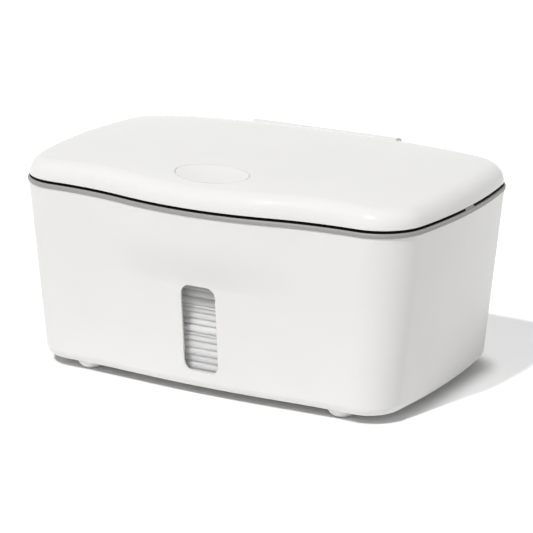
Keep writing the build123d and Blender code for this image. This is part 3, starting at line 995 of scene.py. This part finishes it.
@dataclass
class ButtonSprings:
    """The pair of round-wire springs that lift the button.

    even is the share of the rise that is spread evenly; the rest closes the end coils.
    """

    node: str = "button_springs"
    wire: float = 0.0006
    wire_sides: int = 10
    turns: float = 5.5
    steps: int = 24
    even: float = 0.45

    def build(self, shelf: FinishShelf) -> bpy.types.Object:
        """Grow both coils in the node's place.

        Args:
            shelf: Where the finish comes from.

        Returns:
            The coils, riding the lid.
        """
        low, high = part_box(self.node)
        outer = (high.y - low.y) / 2
        tree = Growth("button_coils")
        coil = self.coil(tree, outer, high.z - low.z)
        laid = tree.node("InstanceOnPoints", Points=tree.start, Instance=coil)
        base = bpy.data.meshes.new(self.node + "_feet")
        middle = (low.y + high.y) / 2
        foot = low.z + self.wire / 2
        base.from_pydata([(x, middle, foot) for x in (low.x + outer, high.x - outer)], [], [])
        piece = tree.grow("button_coils", laid.outputs[0], shelf.take("spring_steel"), base)
        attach(piece, Body.LID.value)
        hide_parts(self.node)
        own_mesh(piece)
        return piece

    def coil(self, tree: Growth, outer: float, height: float) -> Socket:
        """One spring with closer coils at its ends.

        Args:
            tree: The tree it is made in.
            outer: Outer radius of the coil.
            height: Height of the free spring.

        Returns:
            The spring, with the middle of its lowest wire at zero.
        """
        radius = tree.given("Coil radius", outer - self.wire / 2)
        wire = tree.given("Wire radius", self.wire / 2)
        rise = tree.given("Free height", height - self.wire)
        helix = tree.node(
            "CurveSpiral",
            Resolution=self.steps,
            Rotations=tree.given("Turns", self.turns),
            Start_Radius=radius,
            End_Radius=radius,
            Height=rise,
        )
        _, _, z = tree.place()
        share = tree.sum("DIVIDE", z, rise)
        ease = tree.node("ShaderNodeMapRange", {"interpolation_type": "SMOOTHERSTEP"}, Value=share)
        eased = tree.product(ease.outputs["Result"], 1.0 - self.even)
        blend = tree.sum("ADD", tree.product(share, self.even), eased)
        lift = tree.product(tree.sum("SUBTRACT", blend, share), rise)
        wound = tree.shifted(helix.outputs[0], tree.vector(0.0, 0.0, lift))
        section = tree.node("CurvePrimitiveCircle", Resolution=self.wire_sides, Radius=wire)
        coil = tree.node(
            "CurveToMesh", Curve=wound, Profile_Curve=section.outputs[0], Fill_Caps=True
        )
        return tree.node("SetShadeSmooth", Geometry=coil.outputs[0]).outputs[0]


# ---------------------------------------------------------------- studio


@dataclass
class Studio:
    """Pale floor, soft light and the camera.

    Angles are in degrees. floor_lift is the light that the floor adds in direct view and in
    reflections, and the painted-shadow sizes bound the place round the tub's foot where direct
    view has none, so a contact shadow is painted there.
    """

    aim: Point = (0.0, 0.0028, 0.0514)
    azimuth: float = 29.832
    elevation: float = 16.566
    roll: float = 0.1994
    distance: float = 1.25366
    focal_pixels: float = 2502.365
    frame_pixels: float = 533.0
    centre_u: float = 264.914
    centre_v: float = 263.719
    sensor: float = 36.0
    near: float = 0.05
    far: float = 60.0
    sky: float = 0.285
    key: float = 2.4
    key_slope: Point = (0.085, 0.65, -1.0)
    key_angle: float = 3.0
    fill: float = 1.25
    fill_size: float = 1.0
    fill_place: Point = (0.95, 0.3, 1.0)
    floor_size: float = 30.0
    floor_colour: Colour = (0.93, 0.93, 0.93)
    floor_lift: float = 0.4
    painted_shadow_half: tuple[float, float] = (0.1025, 0.0605)
    painted_shadow_middle: tuple[float, float] = (0.0, 0.003)
    painted_shadow_round: float = 0.02
    painted_shadow_fade: float = 0.009

    def build(self) -> None:
        """Make the floor, the light and the camera."""
        self.floor()
        self.world()
        self.lamps()
        self.camera()

    def floor(self) -> None:
        """A plain white floor whose direct view is lifted to white. It keeps the cast shadow and
        has a contact shadow painted round the tub's foot.
        """
        half = self.floor_size / 2
        corners = [(-half, -half, 0), (half, -half, 0), (half, half, 0), (-half, half, 0)]
        mesh = bpy.data.meshes.new("floor")
        mesh.from_pydata(corners, [], [(0, 1, 2, 3)])
        ground = bpy.data.objects.new("floor", mesh)
        bpy.context.scene.collection.objects.link(ground)
        recipe = Recipe(bpy.data.materials.new("floor_paint"))
        ways = recipe.node("ShaderNodeLightPath").outputs
        seen = recipe.sum("MAXIMUM", ways["Is Camera Ray"], ways["Is Transmission Ray"])
        # Painted contact shadow: the floor's lift in direct view fades out round the tub's foot,
        # so the floor there looks shaded.
        painted_shadow_lift = recipe.sum("MULTIPLY", seen, self.painted_contact_shadow(recipe))
        mirrored = recipe.sum("MULTIPLY", ways["Is Glossy Ray"], self.floor_lift)
        lift = recipe.sum("MAXIMUM", painted_shadow_lift, mirrored)
        glow = recipe.node("ShaderNodeEmission", Color=FULL_WHITE, Strength=lift)
        paint = recipe.node("ShaderNodeBsdfDiffuse", Color=(*self.floor_colour, 1.0))
        both = recipe.node("ShaderNodeAddShader")
        recipe.feed(both, 0, glow.outputs[0])
        recipe.feed(both, 1, paint.outputs[0])
        mesh.materials.append(recipe.finish(both))

    def painted_contact_shadow(self, recipe: Recipe) -> Socket:
        """Lift of the floor, which fades out where the tub stands close over it and so paints a
        contact shadow there.

        Args:
            recipe: The floor's material.

        Returns:
            The lift at each point.
        """
        place = recipe.node("ShaderNodeTexCoord").outputs["Object"]
        reach = [half - self.painted_shadow_round for half in self.painted_shadow_half]
        moved = recipe.vector_step("SUBTRACT", place, (*self.painted_shadow_middle, 0.0))
        folded = recipe.vector_step("ABSOLUTE", moved.outputs["Vector"])
        beyond = recipe.vector_step("SUBTRACT", folded.outputs["Vector"], (*reach, 0.0))
        outside = recipe.vector_step("MAXIMUM", beyond.outputs["Vector"], (0.0, 0.0, 0.0))
        away = recipe.vector_step("LENGTH", outside.outputs["Vector"])
        made = recipe.node(
            "ShaderNodeMapRange",
            {"interpolation_type": "SMOOTHSTEP"},
            Value=away.outputs["Value"],
            From_Min=self.painted_shadow_round - self.painted_shadow_fade / 2,
            From_Max=self.painted_shadow_round + self.painted_shadow_fade,
            To_Min=0.0,
            To_Max=self.floor_lift,
        )
        return made.outputs["Result"]

    def world(self) -> None:
        """White to the camera and in reflections, softer as light."""
        recipe = Recipe(bpy.data.worlds.new("studio"))
        ways = recipe.node("ShaderNodeLightPath").outputs
        direct = recipe.sum("MAXIMUM", ways["Is Camera Ray"], ways["Is Transmission Ray"])
        seen = recipe.sum("MAXIMUM", direct, ways["Is Glossy Ray"])
        level = recipe.node("ShaderNodeMapRange", Value=seen, To_Min=self.sky, To_Max=1.0)
        strength = level.outputs["Result"]
        sky = recipe.node("ShaderNodeBackground", Color=FULL_WHITE, Strength=strength)
        bpy.context.scene.world = recipe.finish(sky)

    def lamps(self) -> None:
        """A soft key from the upper front and a broad fill from the upper right."""
        key = bpy.data.lights.new("key", "SUN")
        key.energy = self.key
        key.angle = math.radians(self.key_angle)
        self.hang(key, Vector((0.0, 0.0, 0.0)), Vector(self.key_slope))
        fill = bpy.data.lights.new("fill", "AREA")
        fill.energy = self.fill
        fill.size = self.fill_size
        place = Vector(self.fill_place)
        self.hang(fill, place, Vector(self.aim) - place)

    def hang(self, lamp: bpy.types.Light, place: Vector, toward: Vector) -> None:
        """Put a lamp in the scene.

        Args:
            lamp: The lamp.
            place: Where it hangs.
            toward: The way it shines.
        """
        holder = bpy.data.objects.new(lamp.name, lamp)
        holder.location = place
        holder.rotation_mode = "QUATERNION"
        holder.rotation_quaternion = toward.to_track_quat("-Z", "Y")
        bpy.context.scene.collection.objects.link(holder)

    def camera(self) -> None:
        """Put the camera in its place, with the lens shifted to its own centre."""
        turn, rise, roll = (math.radians(v) for v in (self.azimuth, self.elevation, self.roll))
        back = Vector(
            (math.sin(turn) * math.cos(rise), -math.cos(turn) * math.cos(rise), math.sin(rise))
        )
        right = Vector((0, 0, 1)).cross(back).normalized()
        up = back.cross(right)
        tilted_right = right * math.cos(roll) + up * math.sin(roll)
        tilted_up = up * math.cos(roll) - right * math.sin(roll)
        lens = bpy.data.cameras.new("camera")
        lens.sensor_fit = "HORIZONTAL"
        lens.sensor_width = self.sensor
        lens.lens = self.focal_pixels / self.frame_pixels * self.sensor
        lens.shift_x = (self.frame_pixels / 2 - self.centre_u) / self.frame_pixels
        lens.shift_y = (self.centre_v - self.frame_pixels / 2) / self.frame_pixels
        lens.clip_start, lens.clip_end = self.near, self.far
        eye = bpy.data.objects.new("camera", lens)
        axes = Matrix((tilted_right, tilted_up, back)).transposed().to_4x4()
        eye.matrix_world = Matrix.Translation(Vector(self.aim) + back * self.distance) @ axes
        bpy.context.scene.collection.objects.link(eye)
        bpy.context.scene.camera = eye


def main() -> None:
    """Dress the frame, build the pieces and set the studio."""
    logging.basicConfig(level=logging.INFO, format="%(name)s: %(message)s")
    bpy.context.scene.view_settings.view_transform = "Standard"
    shelf = FinishShelf()
    shelf.dress_frame()
    pieces = (
        WipesStack(),
        ScrewSet("liner_screws", Body.LID),
        ScrewSet("plate_screws", Body.PLATE),
        ScrewSet("housing_screws", Body.TUB, turn=(-math.pi / 2, 0.0, 0.0)),
        ButtonSprings(),
    )
    for piece in pieces:
        made = piece.build(shelf)
        LOG.info("%s: %d faces", made.name, len(made.data.polygons))
    Studio().build()


if __name__ == "__main__":
    main()
